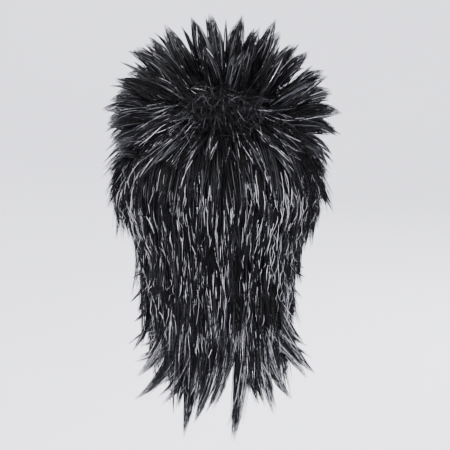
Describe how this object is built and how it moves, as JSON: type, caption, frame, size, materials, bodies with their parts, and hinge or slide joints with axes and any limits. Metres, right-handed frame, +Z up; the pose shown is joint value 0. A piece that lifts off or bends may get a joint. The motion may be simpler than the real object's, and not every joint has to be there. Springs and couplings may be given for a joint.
{
  "type": "mullet wig",
  "caption": "Costume wig on a stretch cap: short spiky teased crown, flared layers over the ears and long straight back hair that ends in flicked locks.",
  "frame": {"origin": "top of the inside of the cap, where it rests on the top of the head", "axes": "+Z up along the head, -Y the way the wearer looks, +X to the wearer's left"},
  "size_m": [0.2159, 0.2299, 0.3705],
  "materials": {
    "hair_fibre": "glossy black synthetic hair fibre",
    "cap_cloth": "black stretch net"
  },
  "bodies": {
    "root": {"cap": "cap_cloth", "nape_lengths": "hair_fibre", "upper_back_layer": "hair_fibre", "side_left": "hair_fibre", "side_right": "hair_fibre", "fringe": "hair_fibre", "crown_spikes": "hair_fibre"}
  },
  "joints": []
}
